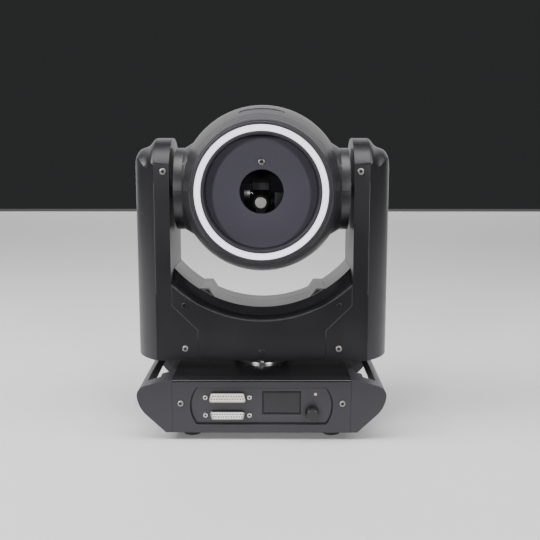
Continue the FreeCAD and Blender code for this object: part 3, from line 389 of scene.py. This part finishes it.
def bright_plate(name, tint, rough):
    """Bright plated metal with fine handling marks."""
    finish = Finish(name, Metallic=1.0)
    marks = finish.noise(420, detail=5.0, roughness=0.7)
    worn_tint = tuple(0.78 * part for part in tint)
    finish.colour(finish.blend(marks, worn_tint, tint))
    finish.rough(marks * 0.16 + rough)
    finish.bump(marks, strength=0.15, distance=0.00003)
    return finish.material


nickel = bright_plate("nickel_plate", tint=(0.62, 0.60, 0.58), rough=0.16)
for node, name, width in (("data_connectors", "socket_shells", 0.0002),
                          ("connector_jackscrews", "socket_posts", 0.0003)):
    part = from_cad(node, name)
    round_edges(part, width, segments=2)
    dress(part, nickel)
    mount_piece(part, "base", "bright_metal", node)


def socket_moulding():
    """Glass-filled moulding, cream in the upper socket and white in the lower, with painted shade in its
    holes and behind its face.
    """
    pitch = 0.00277
    half_row_gap = 0.00142
    hole_radius = 0.0008
    half_long_row = 0.0178
    half_row_loss = 0.0013
    face_depth = 0.0003
    middle = -0.0363
    upper_height = 0.0468
    lower_height = 0.0271
    finish = Finish("socket_moulding", Specular_IOR_Level=0.45)
    speck = finish.noise(900, detail=3.0)
    low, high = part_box("data_connector_inserts")
    # Painted shade: everything behind the face, and a disc at each pin hole, is coloured near black.
    dark = finish.axis("Y") > low.y + face_depth
    across = finish.axis("X") - middle
    for height, long_side in ((upper_height, -1), (lower_height, 1)):
        for short, side in ((0, long_side), (1, -long_side)):
            place = across / pitch + (0.5 * short + 0.5)
            off = (place - place.whole_part() - 0.5) * pitch
            rise = finish.axis("Z") - (height + side * half_row_gap)
            in_row = abs(across) < half_long_row - short * half_row_loss
            dark = dark + (off ** 2.0 + rise ** 2.0 < hole_radius ** 2) * in_row
    upper = finish.axis("Z") > (low.z + high.z) / 2
    cream = finish.blend(speck, (0.80, 0.70, 0.60), (0.92, 0.83, 0.74))
    white = finish.blend(speck, (0.80, 0.79, 0.76), (0.94, 0.93, 0.90))
    face = finish.blend(upper, white, cream)
    finish.colour(finish.blend(dark.at_most(1.0), face, (0.02, 0.016, 0.014)))
    finish.rough(speck * 0.1 + 0.42)
    return finish.material


insert = from_cad("data_connector_inserts", "socket_inserts")
smooth_faces(insert, 35)
dress(insert, socket_moulding())
mount_piece(insert, "base", "connector_insert", "data_connector_inserts")


# ---------------------------------------------------------------------------------------------
# Display and status lamp. The display is a module behind a window of smoked acrylic, unlit here.
# The lamp beside it is a small one cast in clouded pink resin.

def smoked_window():
    """Unlit display behind a smoked acrylic window, painted near black along its edge as the shade of its
    recess.
    """
    side_edge = 0.0012
    level_edge = 0.0020
    finish = Finish("smoked_window", Specular_IOR_Level=0.22, Coat_Weight=0.08, Coat_Roughness=0.1)
    low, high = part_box("display_module")
    centre = (low + high) / 2
    half = (high - low) / 2
    across = abs(finish.axis("X") - centre.x) - (half.x - side_edge)
    upright = abs(finish.axis("Z") - centre.z) - (half.z - level_edge)
    # Painted shade: a band along the window's edge, wider at top and bottom, is coloured near black.
    edge = across.at_least(upright) > 0.0
    haze = finish.noise(40, detail=4.0)
    glass = finish.blend(haze, (0.026, 0.026, 0.029), (0.034, 0.034, 0.038))
    finish.colour(finish.blend(edge, glass, (0.008, 0.008, 0.009)))
    finish.rough(haze * 0.12 + 0.16)
    return finish.material


display = from_cad("display_module", "display_glass")
round_edges(display, width=0.0003)
dress(display, smoked_window())
mount_piece(display, "base", "display_window", "display_module")


def lamp_resin():
    """Pale pink clouded resin of a small lamp, barely lit."""
    finish = Finish("lamp_resin", Emission_Strength=0.15, Specular_IOR_Level=0.5)
    cloud = finish.noise(1500, detail=2.0)
    tint = finish.blend(cloud, (0.62, 0.36, 0.38), (0.76, 0.50, 0.52))
    finish.colour(tint)
    finish.vary("Emission Color", tint)
    finish.rough(cloud * 0.1 + 0.25)
    return finish.material


lamp = from_cad("status_led", "status_lamp")
smooth_faces(lamp, 35)
dress(lamp, lamp_resin())
mount_piece(lamp, "base", "lamp_lens", "status_led")


# ---------------------------------------------------------------------------------------------
# Knob and rear sockets. The knob is glossy black and pressed on the push sleeve of its encoder.
# The encoder, the mains inlet and the two signal sockets are matt black mouldings.

knob_gloss = moulded_black("knob_gloss", low=(0.008, 0.008, 0.009), high=(0.014, 0.014, 0.016),
                           rough=0.10, grain=0.05)
knob = from_cad("control_knob", "knob_cap")
round_edges(knob, width=0.00025, segments=2)
dress(knob, knob_gloss)
mount_piece(knob, "control_knob", "knob_plastic", "control_knob")

matt_moulding = moulded_black("matt_moulding", low=(0.014, 0.014, 0.015), high=(0.024, 0.024, 0.025),
                              rough=0.5, grain=0.5)
for node, name, body in (("encoder_body", "encoder_can", "base"),
                         ("encoder_plunger", "encoder_sleeve", "encoder_plunger"),
                         ("power_inlet", "mains_inlet", "base"),
                         ("signal_connectors", "signal_sockets", "base")):
    part = from_cad(node, name)
    round_edges(part, width=0.0004, segments=2)
    dress(part, matt_moulding)
    mount_piece(part, body, "moulded_black", node)


# ---------------------------------------------------------------------------------------------
# Screws, pan spindle and bearings. Nickel-plated cross-head screws hold the covers. Socket-head
# bolts hold the turned flange of the hollow pan spindle, which shows in the gap under the yoke.

def screw_plate(name, recesses, shade_radius, blackened=False):
    """Nickel-plated heads with painted shade down in their recesses; the yoke's inner ones are blackened.
    """
    inner_bottom = 0.11
    inner_side = 0.095
    middle_side = 0.02
    finish = Finish(name)
    marks = finish.noise(420, detail=5.0, roughness=0.7)
    side = abs(finish.axis("X"))
    upright = finish.axis("Z")
    # Painted shade: a near-black, non-metal disc over each screw's recess.
    dark = sum((side - x) ** 2.0 + (upright - z) ** 2.0 < shade_radius ** 2 for x, z in recesses)
    if blackened:
        dark = dark + (upright > inner_bottom) * (side < inner_side) + (side < middle_side)
    dark = dark.at_most(1.0)
    plate = finish.blend(marks, (0.34, 0.33, 0.32), (0.52, 0.50, 0.48))
    finish.colour(finish.blend(dark, plate, (0.012, 0.011, 0.012)))
    finish.vary("Metallic", 1.0 - dark)
    finish.rough(marks * 0.16 + 0.22)
    return finish.material


def zinc_plate():
    """Turned and zinc-plated steel of the pan flange and its tube, a little stained."""
    finish = Finish("zinc_plate", Metallic=1.0)
    stain = finish.noise(160, detail=4.0, roughness=0.6)
    finish.colour(finish.blend(stain, (0.30, 0.30, 0.31), (0.50, 0.50, 0.52)))
    finish.rough(stain * 0.12 + 0.24)
    return finish.material


# Radii of the painted shade discs in the screw recesses.
cover_recess_shade = 0.0018
arm_recess_shade = 0.0016
# The side and the height of each screw whose recess shows, on both sides of the middle; each recess gets a
# disc of painted shade.
base_recesses = [(0.0862, 0.0405)]
yoke_recesses = [(0.0852, 0.0887), (0.1063, 0.2843)]
well_recesses = [(0.0, 0.295)]
base_screw_plate = screw_plate("base_screw_plate", base_recesses, cover_recess_shade)
yoke_screw_plate = screw_plate("yoke_screw_plate", yoke_recesses, arm_recess_shade, blackened=True)
well_screw_plate = screw_plate("well_screw_plate", well_recesses, cover_recess_shade)
for node, name, body, finish in (
        ("base_screws", "base_screw_set", "base", base_screw_plate),
        ("yoke_screws", "yoke_screw_set", "yoke", yoke_screw_plate),
        ("plate_screw", "plate_screw_head", "head", well_screw_plate),
        ("pan_spindle", "pan_spindle_tube", "base", zinc_plate()),
        ("pan_bearing", "pan_bearing_ring", "yoke", nickel),
        ("tilt_bearings", "tilt_bearing_rings", "yoke", nickel)):
    part = from_cad(node, name)
    round_edges(part, width=0.00025, segments=2)
    dress(part, finish)
    mount_piece(part, body, "bright_metal", node)


# ---------------------------------------------------------------------------------------------
# Steel frames and power supply. The U of the yoke and the frame in the head are pressed from
# steel sheet, and the supply sits in a folded steel case. All have the tray's powder coat.

for node, name, body in (("yoke_frame", "yoke_steel", "yoke"),
                         ("head_frame", "head_steel", "head"),
                         ("power_supply", "supply_case", "base")):
    part = from_cad(node, name)
    round_edges(part, width=0.0004, segments=2)
    dress(part, black_coat)
    mount_piece(part, body, "chassis_steel", node)


# ---------------------------------------------------------------------------------------------
# Yoke covers. Moulded black ABS screwed on the steel U: a bulged outer cover and a flat inner
# cover with a round ear on each arm, a front and a rear plate, and the saddle between the arms.

def yoke_plastic():
    """Moulded black, with painted highlights along the sharp edges of its joints, its rim and its pockets.
    """
    tilt_axis_height = 0.26315
    rim_radius = 0.1430
    rim_end = 0.0990
    rim_half_width = 0.0005
    front_face = -0.0480
    pocket_rear = -0.0165
    plate_side = 0.0992
    cover_joint = 0.1166
    corner_top, corner_bottom = (0.0994, 0.1374), (0.0710, 0.1094)
    pocket_inner, pocket_tip, pocket_outer = (0.0614, 0.1502), (0.0568, 0.1430), (0.0690, 0.1502)
    fine, line = 0.0003, 0.0004
    seam_highlight_strength = 0.42
    finish = Finish("yoke_plastic", Specular_IOR_Level=0.5)
    texture = finish.noise(2600, detail=2.0, roughness=0.6)
    cloud = finish.noise(18, detail=3.0)
    front = finish.axis("Y") < front_face
    seam_highlights = finish.strokes(((plate_side, 0.1600), (plate_side, 0.1374), fine),
                           ((cover_joint, 0.2720), (cover_joint, 0.1500), line),
                           (corner_top, corner_bottom, line),
                           (corner_bottom, (0.0709, 0.1000), line))
    across = finish.axis("X")
    upright = finish.axis("Z") - tilt_axis_height
    from_rim = abs((across ** 2.0 + upright ** 2.0) ** 0.5 - rim_radius)
    rim_highlight = (from_rim < rim_half_width) * (abs(across) < rim_end)
    recess = finish.axis("Y") < pocket_rear
    pocket_highlight = finish.strokes((pocket_outer, pocket_inner, line),
                            (pocket_inner, pocket_tip, line),
                            (pocket_tip, pocket_outer, line))
    # Painted highlight: light lines along the seams, the rim and the pocket edges.
    light = (seam_highlights + rim_highlight) * front * seam_highlight_strength + pocket_highlight * recess
    body = finish.blend(cloud, (0.0055, 0.0053, 0.0078), (0.0095, 0.0092, 0.0125))
    finish.colour(finish.blend(light.at_most(1.0), body, (0.15, 0.15, 0.16)))
    finish.rough(cloud * 0.14 + texture * 0.06 + 0.24)
    finish.bump(texture, strength=0.35, distance=0.00008)
    return finish.material


yoke_casing = yoke_plastic()
arm_casing = moulded_black("arm_plastic", low=(0.0095, 0.0092, 0.0120), high=(0.0150, 0.0147, 0.0180),
                           rough=0.26, grain=0.35)
# The rolled edges of the yoke covers take this lighter moulding as a painted edge highlight.
painted_edge_highlight = moulded_black("painted_edge_highlight", low=(0.060, 0.060, 0.064), high=(0.130, 0.130, 0.136),
                            rough=0.26, grain=0.2)
for node, name, finish in (("saddle_cover", "saddle_moulding", yoke_casing),
                           ("yoke_front_plate", "front_moulding", yoke_casing),
                           ("yoke_rear_plate", "rear_moulding", yoke_casing),
                           ("arm_inner_cover_left", "ear_moulding_left", yoke_casing),
                           ("arm_inner_cover_right", "ear_moulding_right", yoke_casing),
                           ("arm_outer_cover_left", "arm_moulding_left", arm_casing),
                           ("arm_outer_cover_right", "arm_moulding_right", arm_casing)):
    cover = from_cad(node, name)
    round_edges(cover, width=0.0006, own_finish=True)
    dress(cover, finish, painted_edge_highlight)
    mount_piece(cover, "yoke", "casing", node)


# ---------------------------------------------------------------------------------------------
# Drives, laser and fan. Two steppers with toothed belts sit in the yoke: one walks it round the
# fixed pan pulley, the other turns the head. In the head are the laser module, its heat sink and
# fan, and the machined block that holds the two mirror motors.

def machined_aluminium():
    """Bare milled or turned aluminium with fine tool marks."""
    finish = Finish("machined_aluminium", Metallic=1.0)
    marks = finish.noise(300, detail=4.0, roughness=0.6)
    finish.colour(finish.blend(marks, (0.46, 0.46, 0.48), (0.62, 0.62, 0.64)))
    finish.rough(marks * 0.2 + 0.28)
    finish.bump(marks, strength=0.2, distance=0.00004)
    return finish.material


def motor_case():
    """Dull steel of a stepper's laminated body and end caps."""
    finish = Finish("motor_case")
    marks = finish.noise(500, detail=3.0)
    finish.colour(finish.blend(marks, (0.30, 0.30, 0.31), (0.46, 0.46, 0.47)))
    finish.rough(marks * 0.2 + 0.3)
    finish.vary("Metallic", marks * 0.1 + 0.85)
    return finish.material


def matt_anodised():
    """Dull black anodising inside the head, with a grey patch painted on the plate behind the mirrors as a
    mirror's reflection.
    """
    reflection_middle = -0.0013
    reflection_half_width = 0.0092
    reflection_height = 0.2660
    reflection_half_height = 0.0055
    finish = Finish("matt_anodised", Specular_IOR_Level=0.25)
    marks = finish.noise(300, detail=4.0, roughness=0.6)
    across = abs(finish.axis("X") - reflection_middle)
    upright = abs(finish.axis("Z") - reflection_height)
    # Painted reflection: a grey rectangle on the plate, standing for the grey that the mirror in front of
    # it reflects.
    painted_reflection = (across < reflection_half_width) * (upright < reflection_half_height)
    black = finish.blend(marks, (0.0022, 0.0022, 0.0026), (0.0040, 0.0038, 0.0046))
    finish.colour(finish.blend(painted_reflection, black, (0.055, 0.054, 0.060)))
    finish.rough(marks * 0.1 + 0.62)
    return finish.material


aluminium = machined_aluminium()
steel_case = motor_case()
bright_case = bright_plate("mirror_motor_case", tint=(0.86, 0.84, 0.82), rough=0.30)
for node, name, body, finish, slot in (
        ("pan_motor", "pan_stepper", "yoke", steel_case, "motor_finish"),
        ("tilt_motor", "tilt_stepper", "yoke", steel_case, "motor_finish"),
        ("galvo_motors", "mirror_motors", "head", bright_case, "motor_finish"),
        ("pan_belt", "pan_belt_band", "yoke", rubber, "belt_rubber"),
        ("tilt_belt", "tilt_belt_band", "yoke", rubber, "belt_rubber"),
        ("pan_pulley", "pan_wheel", "base", aluminium, "aluminium"),
        ("tilt_pulley", "tilt_wheel", "head", aluminium, "aluminium"),
        ("pan_motor_pulley", "pan_pinion", "pan_motor_pulley", aluminium, "aluminium"),
        ("tilt_motor_pulley", "tilt_pinion", "tilt_motor_pulley", aluminium, "aluminium"),
        ("tilt_spindles", "tilt_spindle_tubes", "head", aluminium, "aluminium"),
        ("galvo_block", "galvo_mount", "head", matt_anodised(), "aluminium"),
        ("laser_module", "laser_case", "head", black_coat, "aluminium"),
        ("heat_sink", "cooling_fins", "head", aluminium, "aluminium"),
        ("fan_housing", "fan_frame", "head", matt_moulding, "moulded_black"),
        ("fan_rotor", "fan_impeller", "fan_rotor", matt_moulding, "moulded_black")):
    part = from_cad(node, name)
    round_edges(part, width=0.0003, segments=2)
    dress(part, finish)
    mount_piece(part, body, slot, node)


# ---------------------------------------------------------------------------------------------
# Circuit boards. The main board lies in the base on four posts, and a ring board with lamps sits
# behind the halo. Both are glass-fibre laminate under green solder mask.

def solder_mask():
    """Green varnish, lighter where the copper lies under it."""
    finish = Finish("solder_mask", Specular_IOR_Level=0.5)
    tracks = finish.noise(400, detail=1.0) > 0.55
    finish.colour(finish.blend(tracks * 0.6, (0.010, 0.055, 0.026), (0.020, 0.110, 0.050)))
    finish.rough(tracks * 0.1 + 0.3)
    return finish.material


green = solder_mask()
for node, name, body in (("control_board", "main_board", "base"), ("halo_led_board", "halo_board", "head")):
    part = from_cad(node, name)
    dress(part, green)
    mount_piece(part, body, "circuit_board", node)


# ---------------------------------------------------------------------------------------------
# Mirrors. Two slips of glass, silvered on the face and glued in the shafts of the two mirror
# motors. They steer the beam.

def silvering():
    """Polished silver with hardly any haze."""
    finish = Finish("silvering", Metallic=1.0)
    haze = finish.noise(200, detail=2.0)
    finish.colour(finish.blend(haze, (0.70, 0.71, 0.73), (0.80, 0.81, 0.83)))
    finish.rough(haze * 0.05 + 0.03)
    return finish.material


silver = silvering()
for mirror in ("tilt_mirror", "pan_mirror"):
    part = from_cad(mirror, mirror + "_glass")
    dress(part, silver)
    mount_piece(part, mirror, "mirror_glass", mirror)


# ---------------------------------------------------------------------------------------------
# Head casing. Two half shells moulded in black ABS, each with half of both hubs, and a cap with
# air slots behind. They are screwed to the frame in the head.

def head_plastic():
    """Moulded black as on the base, with one shallow crease turned round the brow, painted darker as its
    shade.
    """
    brow = -0.0625
    crease_half_width = 0.0012
    crease_floor = 0.0005
    slope = 800.0
    finish = Finish("head_plastic", Specular_IOR_Level=0.8)
    texture = finish.noise(2600, detail=2.0, roughness=0.6)
    cloud = finish.noise(18, detail=3.0)
    from_brow = abs(finish.axis("Y") - brow)
    # Painted shade: the crease is coloured darker; its groove itself is a bump.
    crease = from_brow < crease_floor
    body = finish.blend(cloud, (0.017, 0.0168, 0.0200), (0.026, 0.0257, 0.0300))
    finish.colour(finish.blend(crease * 0.6, body, (0.006, 0.006, 0.007)))
    finish.rough(cloud * 0.12 + texture * 0.06 + 0.30)
    groove = (crease_half_width - from_brow).at_least(0.0) * slope
    finish.bump(texture * 0.06 - groove, strength=0.5, distance=0.0006)
    return finish.material


head_casing = head_plastic()
for node, name in (("head_upper_shell", "upper_casing"),
                   ("head_lower_shell", "lower_casing"),
                   ("head_rear_cap", "rear_grille")):
    cover = from_cad(node, name)
    round_edges(cover, width=0.0006)
    dress(cover, head_casing)
    mount_piece(cover, "head", "casing", node)


# ---------------------------------------------------------------------------------------------
# Bezel and front plate. The bezel is a turned aluminium ring with a channel for the halo and a
# deep well, which the plate closes. Both are painted a satin grey with a violet cast.

def violet_paint(name, low, high):
    """Satin paint with a fine grain."""
    finish = Finish(name, Specular_IOR_Level=0.4)
    cloud = finish.noise(24, detail=3.0)
    grain = finish.noise(3000, detail=2.0)
    finish.colour(finish.blend(cloud * 0.6 + grain * 0.4, low, high))
    finish.rough(grain * 0.1 + 0.4)
    finish.bump(grain, strength=0.3, distance=0.00006)
    return finish.material


for node, name, low, high in (
        ("front_bezel", "bezel_ring", (0.024, 0.022, 0.030), (0.030, 0.0275, 0.037)),
        ("front_plate", "well_plate", (0.048, 0.044, 0.062), (0.058, 0.0535, 0.075))):
    part = from_cad(node, name)
    round_edges(part, width=0.0006)
    dress(part, violet_paint(name + "_paint", low, high))
    mount_piece(part, "head", "bezel", node)


# ---------------------------------------------------------------------------------------------
# Halo. A ring of frosted acrylic pressed into the bezel's channel. The lamps on the board behind
# it light it up evenly, in a slightly blue white.

def frosted_white():
    """Frosted acrylic that glows."""
    finish = Finish("frosted_white", Emission_Strength=1.1, Specular_IOR_Level=0.4)
    cloud = finish.noise(60, detail=2.0)
    tint = finish.blend(cloud, (0.84, 0.84, 0.92), (0.90, 0.90, 0.98))
    finish.colour(tint)
    finish.vary("Emission Color", tint)
    finish.rough(cloud * 0.1 + 0.45)
    return finish.material


halo = from_cad("halo_diffuser", "halo_ring")
round_edges(halo, width=0.0005)
dress(halo, frosted_white())
mount_piece(halo, "head", "diffuser", "halo_diffuser")


# ---------------------------------------------------------------------------------------------
# Aperture glass. A flat disc of coated glass behind the round opening of the front plate. It
# keeps dust off the mirrors, and shows them a little darkened.

def clear_glass():
    """Clear coated glass with a few smears."""
    finish = Finish("clear_glass", Specular_IOR_Level=0.5)
    smear = finish.noise(60, detail=4.0)
    finish.colour(finish.blend(smear, (0.006, 0.007, 0.008), (0.012, 0.013, 0.015)))
    finish.rough(smear * 0.05 + 0.03)
    finish.vary("Alpha", smear * 0.05 + 0.10)
    return finish.material


glass = from_cad("aperture_glass", "aperture_window")
dress(glass, clear_glass())
mount_piece(glass, "head", "aperture_glass", "aperture_glass")


# ---------------------------------------------------------------------------------------------
# Studio. A pale floor that starts a little in front of the object and runs far behind it, a wide
# lit panel behind, soft boxes above, in front and at both sides, and the camera in front.

def pale_floor():
    """Matt off-white sheet, a little uneven in tone."""
    finish = Finish("pale_floor")
    cloud = finish.noise(3, detail=2.0)
    finish.colour(finish.blend(cloud, (0.80, 0.80, 0.80), (0.84, 0.84, 0.84)))
    finish.rough(cloud * 0.1 + 0.6)
    return finish.material


floor_width = 6.0
floor_depth = 3.4
floor_front = -0.36
let_go()
bpy.ops.mesh.primitive_plane_add(size=1, location=(0, 0, 0))
floor = bpy.context.object
floor.name = "floor"
take(floor)
bpy.ops.object.mode_set(mode="EDIT")
bpy.ops.mesh.select_all(action="SELECT")
bpy.ops.transform.resize(value=(floor_width, floor_depth, 1.0), center_override=(0, 0, 0))
bpy.ops.transform.translate(value=(0, floor_front + floor_depth / 2, 0))
bpy.ops.object.mode_set(mode="OBJECT")
dress(floor, pale_floor())


def soft_box(name, place, target, width, height, power):
    """A rectangular lamp that points at the target; sizes in metres, power in watts."""
    data = bpy.data.lights.new(name, "AREA")
    data.shape = "RECTANGLE"
    data.size = width
    data.size_y = height
    data.energy = power
    lamp_object = bpy.data.objects.new(name, data)
    bpy.context.scene.collection.objects.link(lamp_object)
    lamp_object.location = place
    lamp_object.rotation_euler = (Vector(target) - Vector(place)).to_track_quat("-Z", "Y").to_euler()


middle = (0, 0, 0.2)
soft_box("backdrop panel", (0, 2.6, 1.2), (0, 0, 0.6), width=4.6, height=3.0, power=50)
soft_box("overhead", (0, -0.25, 1.5), (0, -0.15, 0), width=1.6, height=0.8, power=22)
soft_box("front left", (-1.3, -2.7, 0.8), middle, width=0.35, height=0.6, power=40)
soft_box("front right", (1.3, -2.7, 0.8), middle, width=0.35, height=0.6, power=36)
soft_box("high left", (-1.5, -0.3, 1.5), middle, width=1.0, height=1.0, power=32)
soft_box("high right", (1.5, -0.3, 1.5), middle, width=1.0, height=1.0, power=12)

world = bpy.data.worlds.new("studio")
bpy.context.scene.world = world
world.use_nodes = True
background = world.node_tree.nodes["Background"]
background.inputs["Color"].default_value = (0.86, 0.88, 0.90, 1.0)
background.inputs["Strength"].default_value = 0.03

look_down = 8.97
turned = 0.27
camera_data = bpy.data.cameras.new("camera")
camera_data.lens = 52.3
camera_data.sensor_width = 36
camera = bpy.data.objects.new("camera", camera_data)
bpy.context.scene.collection.objects.link(camera)
camera.location = (0.0129, -0.8978, 0.3112)
camera.rotation_euler = (math.radians(90 - look_down), 0, math.radians(turned))
bpy.context.scene.camera = camera
